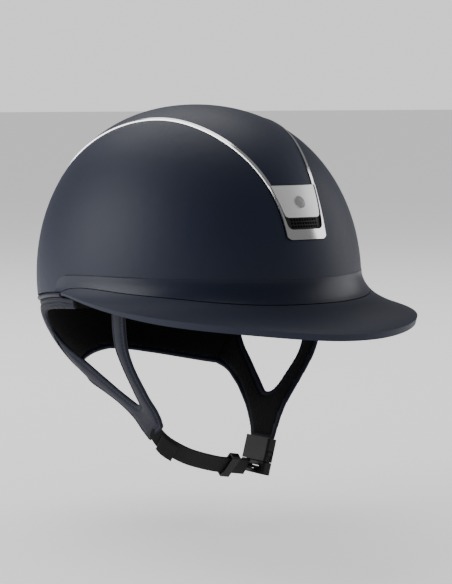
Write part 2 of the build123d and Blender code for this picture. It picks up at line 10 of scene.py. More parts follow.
import bmesh
import bpy
import numpy as np
from bpy.props import FloatProperty, FloatVectorProperty, PointerProperty
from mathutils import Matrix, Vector

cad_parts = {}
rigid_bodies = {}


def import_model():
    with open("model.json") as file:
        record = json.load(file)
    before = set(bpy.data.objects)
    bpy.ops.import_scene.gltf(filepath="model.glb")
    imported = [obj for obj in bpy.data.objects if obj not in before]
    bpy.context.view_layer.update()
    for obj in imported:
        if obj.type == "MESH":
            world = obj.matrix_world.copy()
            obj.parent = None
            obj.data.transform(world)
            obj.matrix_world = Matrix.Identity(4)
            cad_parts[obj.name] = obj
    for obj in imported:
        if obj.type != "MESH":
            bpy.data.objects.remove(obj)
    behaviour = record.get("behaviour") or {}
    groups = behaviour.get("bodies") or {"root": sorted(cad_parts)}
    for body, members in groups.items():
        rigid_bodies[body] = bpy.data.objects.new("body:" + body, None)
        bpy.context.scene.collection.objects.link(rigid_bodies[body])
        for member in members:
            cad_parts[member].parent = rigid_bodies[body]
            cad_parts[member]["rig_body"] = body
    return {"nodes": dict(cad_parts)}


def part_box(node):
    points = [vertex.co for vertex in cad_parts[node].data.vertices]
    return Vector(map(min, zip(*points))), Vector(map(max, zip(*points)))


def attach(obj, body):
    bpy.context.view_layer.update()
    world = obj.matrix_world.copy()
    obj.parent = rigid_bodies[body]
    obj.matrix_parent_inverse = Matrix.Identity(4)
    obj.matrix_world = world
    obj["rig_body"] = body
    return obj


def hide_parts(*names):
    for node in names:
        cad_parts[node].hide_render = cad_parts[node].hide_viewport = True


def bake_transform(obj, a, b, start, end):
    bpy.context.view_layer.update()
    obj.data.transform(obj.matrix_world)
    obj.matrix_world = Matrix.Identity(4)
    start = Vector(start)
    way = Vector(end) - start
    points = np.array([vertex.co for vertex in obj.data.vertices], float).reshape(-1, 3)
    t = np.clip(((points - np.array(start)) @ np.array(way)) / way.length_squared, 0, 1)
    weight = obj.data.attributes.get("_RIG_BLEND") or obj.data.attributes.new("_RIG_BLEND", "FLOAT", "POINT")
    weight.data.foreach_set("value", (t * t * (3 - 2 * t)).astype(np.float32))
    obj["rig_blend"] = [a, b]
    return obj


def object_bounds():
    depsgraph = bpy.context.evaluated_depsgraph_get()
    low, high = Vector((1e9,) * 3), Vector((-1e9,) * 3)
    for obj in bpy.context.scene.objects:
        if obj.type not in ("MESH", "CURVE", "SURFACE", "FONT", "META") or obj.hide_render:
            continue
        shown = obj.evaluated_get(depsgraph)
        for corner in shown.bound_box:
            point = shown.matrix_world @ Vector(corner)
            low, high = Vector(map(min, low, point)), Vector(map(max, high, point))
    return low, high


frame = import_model()
CAD_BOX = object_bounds()

bl_info = {
    "name": "Riding helmet",
    "version": (1, 0, 0),
    "blender": (4, 5, 0),
    "location": "3D View > Sidebar > Helmet",
    "description": "Builds a riding helmet's shell, brim, liner and harness round its frame",
    "category": "Object",
}

MM = 0.001

MERGE_DISTANCE = 0.004 * MM
RING_STEPS = 161  # points round the front or back of the shell

# The shell's half width, half length and height, read from the frame
HALF_WIDTH, HALF_LENGTH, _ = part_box("outer_shell")[1]
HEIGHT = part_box("top_panel")[1].z

# Each side's sign along X and its name
SIDES = ((1, "left"), (-1, "right"))

# Lines of points are in millimetres, and smooth_line turns them into metres.
# The shell's lower edge in side view, (y, z)
SHELL_EDGE = [(-150, -9.5), (-60, -7.5), (10, -4.6), (67, -11.4), (116, -19.4), (150, -26)]


# ---------------------------------------------------------------- shader maths


class Link:
    """A node's output that takes part in sums; each operation adds its Math node."""

    def __init__(self, finish, socket):
        self.finish = finish
        self.socket = socket

    def _maths(self, operation, *values):
        return self.finish.node("Math", dict(enumerate(values)), operation=operation)

    def __add__(self, other):
        return self._maths("ADD", self, other)

    def __radd__(self, other):
        return self._maths("ADD", other, self)

    def __sub__(self, other):
        return self._maths("SUBTRACT", self, other)

    def __rsub__(self, other):
        return self._maths("SUBTRACT", other, self)

    def __mul__(self, other):
        return self._maths("MULTIPLY", self, other)

    def __rmul__(self, other):
        return self._maths("MULTIPLY", other, self)

    def __truediv__(self, other):
        return self._maths("DIVIDE", self, other)

    def __gt__(self, other):
        return self._maths("GREATER_THAN", self, other)

    def __lt__(self, other):
        return self._maths("LESS_THAN", self, other)


# The Mix node's sockets for colours, by number, as its sockets share their names
MIX_SHARE, MIX_FIRST, MIX_SECOND = 0, 6, 7
MIX_COLOUR = 2


class Finish:
    """One material: its node tree, and the way its nodes are made."""

    def __init__(self, name):
        self.material = bpy.data.materials.new(name)
        self.material.use_nodes = True
        self.tree = self.material.node_tree
        self.tree.nodes.clear()

    def node(self, kind, sockets=(), out=0, **settings):
        """Add a node: its settings first, then the values or links of its sockets."""
        made = self.tree.nodes.new("ShaderNode" + kind)
        for key, value in settings.items():
            setattr(made, key, value)
        for key, value in dict(sockets).items():
            if isinstance(value, Link):
                self.tree.links.new(value.socket, made.inputs[key])
            else:
                made.inputs[key].default_value = value
        return Link(self, made.outputs[out])

    def place(self):
        """Object coordinates, in metres."""
        return self.node("TexCoord", out="Object")

    def noise(self, scale, detail=3.0, roughness=0.5):
        """Soft noise of a scale in features per metre."""
        sockets = {"Vector": self.place(), "Scale": scale, "Detail": detail, "Roughness": roughness}
        return self.node("TexNoise", sockets)

    def cells(self, scale, feature="F1"):
        """Distances in Voronoi cells of a scale in cells per metre."""
        sockets = {"Vector": self.place(), "Scale": scale}
        return self.node("TexVoronoi", sockets, out="Distance", feature=feature)

    def blend(self, share, first, second):
        """Mix of two colours, each a colour in three numbers or a link."""
        first, second = (c if isinstance(c, Link) else (*c, 1.0) for c in (first, second))
        sockets = {MIX_SHARE: share, MIX_FIRST: first, MIX_SECOND: second}
        return self.node("Mix", sockets, out=MIX_COLOUR, data_type="RGBA")

    def bump(self, height, distance):
        """A bump of a height field, in metres."""
        sockets = {"Height": height, "Distance": distance, "Strength": 1.0}
        return self.node("Bump", sockets, out="Normal")

    def close(self, **sockets):
        """Add the shader and the output, and return the material."""
        names = {key.replace("_", " "): value for key, value in sockets.items()}
        shader = self.node("BsdfPrincipled", names, out="BSDF")
        output = self.tree.nodes.new("ShaderNodeOutputMaterial")
        self.tree.links.new(shader.socket, output.inputs["Surface"])
        return self.material


def shade(colour, factor, lift=0.0):
    """A colour made darker or lighter by a factor."""
    return [min(1.0, c * factor + lift) for c in colour]


# ------------------------------------------------------------------- materials


def shell_paint(name, colour, roughness, grain=0.5):
    """Matt lacquer: a fine, even grain and a barely uneven tone."""
    paint = Finish(name)
    drift = paint.noise(9.0, 2.0)
    grit = paint.noise(2600.0, 2.0)
    return paint.close(
        Base_Color=paint.blend(drift, shade(colour, 0.86), shade(colour, 1.12)),
        Roughness=roughness + 0.08 * (paint.noise(500.0, 4.0) - 0.5) + 0.05 * (drift - 0.5),
        Specular_IOR_Level=0.30,
        Coat_Weight=0.03,
        Coat_Roughness=0.40,
        Normal=paint.bump(grit, 0.000012 * grain),
    )


def polished_metal(name, colour, roughness, brushed=0.0, metallic=1.0):
    """Polished or brushed plated metal with faint handling marks."""
    metal = Finish(name)
    stretched = metal.node("Mapping", {"Vector": metal.place(), "Scale": (90.0, 90.0, 5200.0)})
    lines = metal.node("TexNoise", {"Vector": stretched, "Scale": 1.0, "Detail": 3.0})
    smear = metal.noise(90.0, 3.0)
    return metal.close(
        Base_Color=metal.blend(smear, shade(colour, 0.93), colour),
        Metallic=metallic,
        Roughness=roughness + 0.10 * (smear - 0.5) + brushed * 0.25 * (lines - 0.5),
        Normal=metal.bump(lines, 0.00001 * brushed),
    )


STITCH_LINE = (3.2 * MM, 4.0 * MM)  # the sewn groove's near and far side from the rim
STITCH_PITCH = 2.6 * MM
STITCH_SHARE = 0.68  # of the pitch


def leather(name, colour, roughness=0.5):
    """Soft synthetic leather: pebble grain, creases painted darker in their hollows as painted shade, and
    sunk stitches by the rim.
    """
    hide = Finish(name)
    pebbles = hide.cells(1500.0)
    fine = hide.noise(5200.0, 3.0)
    creases = hide.noise(160.0, 4.0, 0.6)
    rim = hide.node("Attribute", out="Fac", attribute_name="rim")
    run = hide.node("Attribute", out="Fac", attribute_name="run")
    seam = (rim > STITCH_LINE[0]) * (rim < STITCH_LINE[1])
    step = hide.node("Math", {0: run, 1: STITCH_PITCH}, operation="MODULO") / STITCH_PITCH
    thread = seam * (step < STITCH_SHARE)
    height = 0.5 * pebbles + 0.25 * fine + 0.3 * creases - 0.6 * seam + 1.2 * thread
    # Painted shade: the leather is darker in the creases' hollows and lighter on their ridges, following the
    # crease noise of the bump
    crease_shaded = hide.blend(creases, shade(colour, 0.78), shade(colour, 1.28))
    return hide.close(
        Base_Color=hide.blend(thread, crease_shaded, shade(colour, 1.6, 0.006)),
        Roughness=roughness + 0.16 * (creases - 0.5) + 0.10 * (pebbles - 0.3),
        Specular_IOR_Level=0.22,
        Normal=hide.bump(height, 0.00012),
    )


HERRINGBONE_WIDTH = 5.0 * MM
RIB_PITCH = 1.3 * MM
YARN_PITCH = 0.9 * MM


def woven_tape(name, colour):
    """Narrow webbing: fine ribs across the tape in a herringbone, on the tape's own UV in metres."""
    tape = Finish(name)
    flat = tape.node("UVMap", uv_map="flat")
    along, across = (tape.node("SeparateXYZ", {0: flat}, out=axis) for axis in "XY")
    zigzag = tape.node("Math", {0: across / HERRINGBONE_WIDTH, 1: 1.0}, operation="PINGPONG")
    rib = tape.node("Math", {0: (along / RIB_PITCH + zigzag) * math.tau}, operation="SINE")
    cross = tape.node("Math", {0: across / YARN_PITCH * math.tau}, operation="SINE")
    fuzz = tape.noise(3000.0, 3.0)
    height = 0.5 * rib + 0.3 * cross + 0.5 * fuzz
    return tape.close(
        # Painted shade and highlight: the tape is darker in the troughs between ribs and lighter on their
        # crests, following the ribs' bump height
        Base_Color=tape.blend(0.5 + 0.35 * rib, shade(colour, 0.55), shade(colour, 1.5)),
        Roughness=0.78 + 0.1 * (fuzz - 0.5),
        Specular_IOR_Level=0.3,
        Normal=tape.bump(height, 0.00014),
    )


def knitted_cloth(name, colour, pitch=1.4):
    """Spacer-mesh cloth: small holes a pitch apart, in millimetres, with a soft nap."""
    cloth = Finish(name)
    holes = cloth.cells(1000.0 / pitch)
    nap = cloth.noise(4200.0, 3.0)
    patches = cloth.noise(60.0, 3.0)
    hollow = holes < 0.34
    return cloth.close(
        # Painted shade: the holes are painted much darker than the knit round them
        Base_Color=cloth.blend(hollow, shade(colour, 1.25), shade(colour, 0.35)),
        Roughness=0.86 + 0.08 * (patches - 0.5),
        Specular_IOR_Level=0.12,
        Sheen_Weight=0.04,
        Sheen_Roughness=0.5,
        Normal=cloth.bump(holes + 0.3 * nap + 0.4 * patches, 0.0003),
    )


BEADS_PER_METRE = 420.0


def bead_foam(name, colour):
    """Expanded foam: fused beads with dark joints."""
    foam = Finish(name)
    beads = foam.cells(BEADS_PER_METRE)
    joints = foam.cells(BEADS_PER_METRE, feature="DISTANCE_TO_EDGE")
    tone = foam.noise(500.0, 2.0)
    skin = foam.blend(tone, shade(colour, 0.8), shade(colour, 1.2))
    return foam.close(
        Base_Color=foam.blend(joints < 0.05, skin, shade(colour, 0.5)),
        Roughness=0.75 + 0.1 * (tone - 0.5),
        Normal=foam.bump(1.0 - beads, 0.0004),
    )


def moulded_plastic(name, colour, roughness=0.42):
    """Spark-textured moulding with slightly polished high spots."""
    plastic = Finish(name)
    spark = plastic.noise(3800.0, 4.0)
    rubbed = plastic.noise(120.0, 3.0)
    return plastic.close(
        Base_Color=plastic.blend(rubbed, shade(colour, 0.8), shade(colour, 1.3)),
        Roughness=roughness + 0.12 * (rubbed - 0.5),
        Specular_IOR_Level=0.22,
        Normal=plastic.bump(spark, 0.00003),
    )


def floor_paper(name, colour):
    """Matt studio paper."""
    paper = Finish(name)
    tone = paper.noise(2.0, 2.0)
    return paper.close(
        Base_Color=paper.blend(tone, shade(colour, 0.985), colour),
        Roughness=0.9,
        Emission_Color=(1.0, 1.0, 1.0, 1.0),
        Emission_Strength=0.5,
    )


# ------------------------------------------------------------------ mesh tools


def smooth_line(points, steps=16):
    """Points along a smooth line through the given ones, in metres."""
    knots = np.array(points, float) * MM
    knots = np.vstack([2 * knots[0] - knots[1], knots, 2 * knots[-1] - knots[-2]])
    t = np.linspace(0, 1, steps, endpoint=False)[:, None]
    spans = []
    for a, b, c, d in zip(knots, knots[1:], knots[2:], knots[3:]):
        cubic = (3 * b - a - 3 * c + d) * t**3 + (2 * a - 5 * b + 4 * c - d) * t**2
        spans.append(0.5 * (cubic + (c - a) * t + 2 * b))
    return np.vstack([*spans, knots[-2:-1]])


def straight(start, end, steps=8):
    """Points along a straight line between two points given in millimetres, in metres."""
    return np.linspace(np.array(start) * MM, np.array(end) * MM, steps + 1)


def reading(line, column=0):
    """A function that reads a smooth line at a given value of one coordinate."""
    order = np.argsort(line[:, column])
    known, wanted = line[order, column], line[order, 1 - column]
    return lambda value: float(np.interp(value, known, wanted))


def bring(name, shape, material, body, slot, *nodes):
    """Make a finished piece of a bmesh, and let it ride on its body and stand for CAD nodes."""
    mesh = bpy.data.meshes.new(name)
    for face in shape.faces:
        face.smooth = True
    shape.to_mesh(mesh)
    shape.free()
    piece = bpy.data.objects.new(name, mesh)
    bpy.context.scene.collection.objects.link(piece)
    mesh.materials.append(material)
    if nodes:
        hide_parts(*nodes)
    if body:
        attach(piece, body)
    return piece


def opened(mesh):
    """A bmesh of a mesh."""
    shape = bmesh.new()
    shape.from_mesh(mesh)
    return shape


def merged(node):
    """A merged copy of a CAD node's mesh."""
    shape = opened(frame["nodes"][node].data)
    bmesh.ops.remove_doubles(shape, verts=shape.verts, dist=MERGE_DISTANCE)
    bmesh.ops.dissolve_degenerate(shape, edges=shape.edges, dist=MERGE_DISTANCE / 2)
    return shape


def sharp(edge, crease):
    """Whether an edge turns by more than an angle in degrees."""
    return len(edge.link_faces) == 2 and edge.calc_face_angle(0.0) > math.radians(crease)


def hard_piece(name, node, material, slot, crease=28.0, eased=0.0):
    """A hard piece: the CAD node's shape, shaded smooth up to its real edges, which may be eased."""
    shape = merged(node)
    if eased:
        bmesh.ops.dissolve_limit(shape, angle_limit=math.radians(2), verts=shape.verts,
                                 edges=shape.edges)
        corners = [edge for edge in shape.edges if sharp(edge, crease)]
        bmesh.ops.bevel(shape, geom=corners, offset=eased, segments=3, profile=0.5,
                        affect="EDGES", material=-1, clamp_overlap=True)
    for edge in shape.edges:
        if sharp(edge, crease):
            edge.smooth = False
    piece = bring(name, shape, material, frame["nodes"][node]["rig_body"], slot, node)
    shading = piece.modifiers.new("even shading", "WEIGHTED_NORMAL")
    shading.keep_sharp = True
    return piece


SHORTEST_SPAN = 1e-8
TINY = 1e-12  # stands in for a rise of nothing


def along_rim(points, runs):
    """For flat points: distance from the free rim, nearest rim point, way along it, and if inside.

    runs is a closed outline as (line, free) pairs; a joined run doesn't count as a free rim.
    """
    best = np.full(len(points), np.inf)
    close = np.full(len(points), np.inf)
    nearest = np.zeros_like(points)
    travelled = np.zeros(len(points))
    inside = np.zeros(len(points), bool)
    length = 0.0
    for line, free in runs:
        for start, end in zip(line, line[1:]):
            span = end - start
            size = float(span @ span)
            if size < SHORTEST_SPAN**2:
                continue
            share = np.clip(((points - start) @ span) / size, 0, 1)
            foot = start + share[:, None] * span
            distance = np.linalg.norm(points - foot, axis=1)
            nearer = distance < close
            close[nearer], nearest[nearer] = distance[nearer], foot[nearer]
            if free:
                nearer = distance < best
                best[nearer] = distance[nearer]
                travelled[nearer] = length + share[nearer] * math.sqrt(size)
            crossing = (start[1] > points[:, 1]) != (end[1] > points[:, 1])
            rise = span[1] if abs(span[1]) > TINY else TINY
            slant = (points[:, 1] - start[1]) * span[0] / rise
            inside ^= crossing & (points[:, 0] < start[0] + slant)
            length += math.sqrt(size)
    return best, nearest, travelled, inside


def cut_piece(runs, place, front, back, pitch):
    """A closed soft piece cut to a flat outline and laid on a curved surface.

    runs is the outline in flat coordinates, place gives a flat point's place on the surface's
    middle, front and back give the thickness on each side from the distance to the rim, and
    pitch is the grid's spacing. The piece keeps its flat coordinates as the UV map "flat".
    """
    outline = np.vstack([line for line, _ in runs])
    low, high = outline.min(0), outline.max(0)
    counts = np.maximum(np.round((high - low) / pitch).astype(int), 2)
    shape = bmesh.new()
    uv = shape.loops.layers.uv.new("flat")
    rim_layer = shape.verts.layers.float.new("rim")
    run_layer = shape.verts.layers.float.new("run")
    bmesh.ops.create_grid(shape, x_segments=int(counts[0]), y_segments=int(counts[1]), size=0.5)
    flat = np.array([v.co.xy for v in shape.verts]) + 0.5
    flat = low + flat * (high - low)
    for v, (p, q) in zip(shape.verts, flat):
        v.co = (p, q, 0)
    middles = np.array([f.calc_center_median().xy for f in shape.faces])
    keep = along_rim(middles, runs)[3]
    outside = [f for f, kept in zip(shape.faces, keep) if not kept]
    bmesh.ops.delete(shape, geom=outside, context="FACES")
    rim = [v for v in shape.verts if v.is_boundary]
    nearest = along_rim(np.array([v.co.xy for v in rim]), runs)[1]
    for v, (p, q) in zip(rim, nearest):
        v.co = (p, q, 0)
    second = [v for v in shape.verts if not v.is_boundary
              and any(e.other_vert(v).is_boundary for e in v.link_edges)]
    for _ in range(3):
        bmesh.ops.smooth_vert(shape, verts=second, factor=0.5, use_axis_x=True, use_axis_y=True)
    sheet = list(shape.verts)
    flat = np.array([v.co.xy for v in sheet])
    distance, _, travelled, _ = along_rim(flat, runs)
    for v, d, t in zip(sheet, distance, travelled):
        v[rim_layer], v[run_layer] = d, t
    for face in shape.faces:
        for loop in face.loops:
            loop[uv].uv = loop.vert.co.xy
    extruded = bmesh.ops.extrude_face_region(shape, geom=list(shape.faces))
    tops = {g for g in extruded["geom"] if isinstance(g, bmesh.types.BMVert)}
    step = 0.2 * MM
    for v in list(shape.verts):
        p, q = v.co.xy
        middle = Vector(place(p, q))
        ahead = Vector(place(p + step, q)) - middle
        up = Vector(place(p, q + step)) - middle
        normal = ahead.cross(up).normalized()
        d = v[rim_layer]
        v.co = middle + normal * (front(d, p, q) if v in tops else -back(d, p, q))
    bmesh.ops.remove_doubles(shape, verts=shape.verts, dist=MERGE_DISTANCE)
    face_outwards(shape)
    return shape


def face_outwards(shape):
    """Turn a closed shape's faces outwards."""
    bmesh.ops.recalc_face_normals(shape, faces=shape.faces)
    if shape.calc_volume(signed=True) < 0:
        bmesh.ops.reverse_faces(shape, faces=shape.faces)


def line_inside(piece, cloth, towards, bare):
    """Give a soft piece a cloth lining: its faces that look a given way, inside its bound edge."""
    piece.data.materials.append(cloth)
    shape = opened(piece.data)
    rim = shape.verts.layers.float["rim"]
    for face in shape.faces:
        if face.normal.dot(towards(face.calc_center_median())) > 0.3:
            if min(v[rim] for v in face.verts) > bare:
                face.material_index = 1
    shape.to_mesh(piece.data)
    shape.free()


def rounded(d, height, corner):
    """The height of a rounded edge at a distance from the rim."""
    return height * math.sqrt(max(0.0, 1 - (1 - min(d / corner, 1.0)) ** 2))


def bound_edge(roll, crown, reach):
    """Thickness from the rim inwards: a bound roll, a sewn groove and a padded crown."""

    def thickness(d, p=0.0, q=0.0):
        round_part = rounded(d, roll, roll)
        groove = 0.5 * roll * math.exp(-(((d - 2.5 * roll) / (0.55 * roll)) ** 2))
        padding = crown * (1 - math.exp(-max(d - 2.5 * roll, 0.0) / reach))
        return round_part - groove + padding

    return thickness


def even_edge(half, corner):
    """Thickness of a flat tape with rounded edges."""

    def thickness(d, p=0.0, q=0.0):
        return rounded(d, half, corner)

    return thickness


def evaluated_mesh(piece):
    """A new mesh of a curve, or of a mesh with its modifiers."""
    depsgraph = bpy.context.evaluated_depsgraph_get()
    return bpy.data.meshes.new_from_object(piece.evaluated_get(depsgraph))


def roll_along(name, points, radius, material, body, slot, *nodes):
    """A round roll along a line of points, closed at both ends."""
    curve = bpy.data.curves.new(name, "CURVE")
    curve.dimensions = "3D"
    curve.bevel_depth = radius
    curve.bevel_resolution = 5
    curve.use_fill_caps = True
    spline = curve.splines.new("POLY")
    spline.points.add(len(points) - 1)
    for knot, point in zip(spline.points, points):
        knot.co = (*point, 1.0)
    source = bpy.data.objects.new(name, curve)
    bpy.context.scene.collection.objects.link(source)
    mesh = evaluated_mesh(source)
    bpy.data.objects.remove(source)
    shape = opened(mesh)
    bmesh.ops.remove_doubles(shape, verts=shape.verts, dist=MERGE_DISTANCE)
    face_outwards(shape)
    bpy.data.meshes.remove(mesh)
    return bring(name, shape, material, body, slot, *nodes)


def dome_line(length, height, steps=90):
    """(reach, z) down the side of a dome of a half length and a height, from its crown."""
    t = np.linspace(0, 1, steps + 1)[:, None]
    a, b = np.array([0, height]), np.array([0.76 * length, height])
    c, d = np.array([1.123 * length, 0.347 * height]), np.array([0.963 * length, -34 * MM])
    return (1 - t) ** 3 * a + 3 * (1 - t) ** 2 * t * b + 3 * (1 - t) * t**2 * c + t**3 * d


def shell_line(proud=0.0):
    """The shell's own dome line, or one that stands proud of it."""
    return dome_line(HALF_LENGTH + proud, HEIGHT + proud)


def round_shell(height, sweep, facing, proud=0.0, inset=0.0):
    """Points round the shell's front (facing -1) or back (facing 1), at a height that y gives."""
    dome = shell_line(proud)
    points = []
    for angle in np.linspace(-1, 1, RING_STEPS) * math.radians(sweep):
        z = height(facing * HALF_LENGTH * math.cos(angle))
        share = float(np.interp(-z, -dome[:, 1], dome[:, 0])) / HALF_LENGTH
        x_reach, y_reach = HALF_WIDTH * share - inset, HALF_LENGTH * share - inset
        points.append((x_reach * math.sin(angle), facing * y_reach * math.cos(angle), z))
    return points


# ------------------------------------------------------------------ properties


class HelmetSettings(bpy.types.PropertyGroup):
    """Sizes and colours that a user would change."""

    navy: FloatVectorProperty(
        name="Shell colour",
        description="Colour of the matt shell and brim",
        subtype="COLOR",
        default=(0.0078, 0.0120, 0.0310),
        min=0,
        max=1,
    )
    metal: FloatVectorProperty(
        name="Trim colour",
        description="Colour of the polished trims and the badge plate",
        subtype="COLOR",
        default=(0.78, 0.78, 0.79),
        min=0,
        max=1,
    )
    hide: FloatVectorProperty(
        name="Leather colour",
        description="Colour of the harness and nape band",
        subtype="COLOR",
        default=(0.0062, 0.0074, 0.0175),
        min=0,
        max=1,
    )
    edge_roll: FloatProperty(
        name="Edge binding",
        description="Radius of the bound edge of the leather pieces",
        default=1.25 * MM,
        subtype="DISTANCE",
        unit="LENGTH",
    )
    strap_crown: FloatProperty(
        name="Strap padding",
        description="How far the straps' padding stands up inside their bound edges",
        default=1.0 * MM,
        subtype="DISTANCE",
        unit="LENGTH",
    )
    pad_swell: FloatProperty(
        name="Pad swelling",
        description="The most that a liner pad's cloth may swell",
        default=1.4 * MM,
        subtype="DISTANCE",
        unit="LENGTH",
    )


class HelmetOperator:
    """What all the helmet's operators share."""

    bl_options = {"REGISTER", "UNDO"}

    def execute(self, context):
        self.build(context.scene.helmet_settings)
        return {"FINISHED"}


# ------------------------------------------------------------------- operators


class HELMET_OT_shell(HelmetOperator, bpy.types.Operator):
    """Finish the outer shell and its inset top panel"""

    bl_idname = "helmet.shell"
    bl_label = "Shell"

    def build(self, sizes):
        paint = shell_paint("matt navy shell", sizes.navy, 0.54)
        panel_paint = shell_paint("matt navy panel", shade(sizes.navy, 1.15), 0.52)
        hard_piece("shell", "outer_shell", paint, "shell")
        hard_piece("panel", "top_panel", panel_paint, "shell")


# The trims' outer line seen from above, (x, y), from the badge to the back
TRIM_LINE = [(22.6, -104), (33.4, -69), (45.2, -18), (57, 26), (64.5, 62), (65.5, 92), (64.6, 100)]
GASKET_RADIUS = 0.48 * MM
GASKET_SUNK = 0.35 * MM


class HELMET_OT_trims(HelmetOperator, bpy.types.Operator):
    """Finish the trims, the front frame, the badge and both vents"""

    bl_idname = "helmet.trims"
    bl_label = "Trims and vents"

    def build(self, sizes):
        chrome = polished_metal("polished trim", sizes.metal, 0.14)
        satin = polished_metal("satin badge plate", shade(sizes.metal, 1.1), 0.36, 0.35, 0.5)
        dark = moulded_plastic("black vent", (0.012, 0.012, 0.013), 0.38)
        hard_piece("trim_left", "left_trim", chrome, "chrome")
        hard_piece("trim_right", "right_trim", chrome, "chrome")
        hard_piece("frame_front", "front_frame", chrome, "chrome")
        self.gaskets(dark)
        hard_piece("plate_badge", "badge_plate", satin, "plate")
        hard_piece("stud_badge", "badge_stud", chrome, "chrome")
        hard_piece("mesh_front", "vent_mesh", dark, "mesh")
        hard_piece("grille_rear", "rear_vent_grille", dark, "mesh")

    def gaskets(self, rubber):
        """The black gasket cord in the groove outside each trim."""
        line = smooth_line(TRIM_LINE)
        dome = shell_line(-GASKET_SUNK)
        for side, name in SIDES:
            points = []
            for x, y in line - (GASKET_SUNK, 0):
                reach = math.hypot(x * HALF_LENGTH / HALF_WIDTH, y)
                points.append((side * x, y, float(np.interp(reach, dome[:, 0], dome[:, 1]))))
            roll_along(f"gasket_{name}", points, GASKET_RADIUS, rubber, "helmet", "mesh")


# The top of the satin band in side view, (y, z)
BAND_TOP = [(-150, 9.0), (-100, 9.9), (-30, 8.8), (5, 7.0), (17, 3.0), (21, -12)]
SEAM_RADIUS = 0.45 * MM
SEAM_PROUD = 0.05 * MM
SEAM_SWEEP = 93  # degrees to each side of the front


class HELMET_OT_brim(HelmetOperator, bpy.types.Operator):
    """Finish the brim and the satin band above it"""

    bl_idname = "helmet.brim"
    bl_label = "Brim and band"

    def build(self, sizes):
        satin = shell_paint("satin band", shade(sizes.navy, 0.9), 0.38, 0.3)
        matt = shell_paint("matt brim", shade(sizes.navy, 0.95), 0.56, 0.7)
        hard_piece("band", "brim_band", satin, "band")
        hard_piece("visor", "brim", matt, "brim")
        sealant = moulded_plastic("black sealant", (0.003, 0.003, 0.004), 0.5)
        height = reading(smooth_line(BAND_TOP))
        points = round_shell(height, SEAM_SWEEP, -1, proud=SEAM_PROUD)
        roll_along("band_top_seam", points, SEAM_RADIUS, sealant, "helmet", "mesh")


class HELMET_OT_foam(HelmetOperator, bpy.types.Operator):
    """Finish the foam liner and the hidden fittings set in it"""

    bl_idname = "helmet.foam"
    bl_label = "Foam and anchors"

    def build(self, sizes):
        foam = bead_foam("foam beads", (0.030, 0.030, 0.032))
        plastic = moulded_plastic("black moulding", (0.014, 0.014, 0.015))
        steel = polished_metal("bright steel", (0.55, 0.55, 0.56), 0.28, 1.0)
        hard_piece("foam_liner", "eps_liner", foam, "foam")
        hard_piece("carrier_nape", "nape_carrier", plastic, "moulding")
        for _, side in SIDES:
            hard_piece(f"anchor_{side}", f"{side}_strap_anchor", plastic, "moulding")
            hard_piece(f"bar_{side}", f"{side}_anchor_bar", steel, "steel")


# The pull-out cup: its reach, from its own box, and its lower edge in side view, (y, z)
CUP_WIDTH, CUP_LENGTH, CUP_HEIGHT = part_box("liner_cup")[1]
CUP_EDGE = [(-150, -10.5), (-60, -9), (10, -8), (67, -13.5), (116, -21), (150, -27)]
CUP_COLUMNS, CUP_ROWS = 220, 110
CUP_INSET = 1.1 * MM       # from the cup's outside to the cloth's middle
CUP_CLOTH = 0.9 * MM       # thickness
QUILT_DEPTH = 0.45 * MM
QUILT_LENGTH = 16 * MM     # of a diamond
QUILT_TURNS = 7            # diamonds' diagonals in half a turn round the cup
QUILT_START = 20 * MM      # from the crown to full depth


class HELMET_OT_lining(HelmetOperator, bpy.types.Operator):
    """Sew the pull-out lining cup, with its quilted diamonds"""

    bl_idname = "helmet.lining"
    bl_label = "Lining cup"

    def build(self, sizes):
        cloth = knitted_cloth("lining cloth", (0.013, 0.013, 0.016), 1.1)
        shape = bmesh.new()
        bmesh.ops.create_grid(shape, x_segments=CUP_COLUMNS, y_segments=CUP_ROWS, size=0.5)
        line = dome_line(CUP_LENGTH, CUP_HEIGHT)
        reach, z = line[:, 0], line[:, 1]
        along = np.concatenate([[0], np.cumsum(np.hypot(np.diff(reach), np.diff(z)))])
        stop = float(np.interp(0, -z, along))
        edge_y, edge_z = np.array(CUP_EDGE).T * MM
        for v in shape.verts:
            angle, share = (v.co.x + 0.5) * math.tau, v.co.y + 0.5
            edge = float(np.interp(math.sin(angle) * CUP_LENGTH, edge_y, edge_z))
            s = share * (stop - edge)
            inset = CUP_INSET + self.quilting(angle, s)
            if s < stop:
                r, top = float(np.interp(s, along, reach)), float(np.interp(s, along, z))
            else:
                r, top = CUP_LENGTH, stop - s
            r *= 1 - inset / CUP_LENGTH
            v.co = (CUP_WIDTH / CUP_LENGTH * r * math.cos(angle), r * math.sin(angle),
                    top - inset * (1 - min(1.0, s / stop)))
        bmesh.ops.remove_doubles(shape, verts=shape.verts, dist=0.01 * MM)
        bmesh.ops.recalc_face_normals(shape, faces=shape.faces)
        cup = bring("lining_cup", shape, cloth, "comfort_liner", "lining", "liner_cup")
        wall = cup.modifiers.new("cloth thickness", "SOLIDIFY")
        wall.thickness = CUP_CLOTH
        wall.offset = 0.0

    def quilting(self, angle, s):
        """How deep the quilting dips, at an angle round the cup and a way down from its crown."""
        across, down = angle * QUILT_TURNS, math.pi * s / QUILT_LENGTH
        dip = QUILT_DEPTH * abs(math.sin(down + across)) * abs(math.sin(down - across))
        return dip * min(1.0, s / QUILT_START)


PAD_NODES = ("brow_pad", "left_side_pad", "right_side_pad", "nape_pad", "crown_pad")
PAD_VOXEL = 2.2 * MM
AIR_FRAMES = 12
AIR_PRESSURE = 4.0


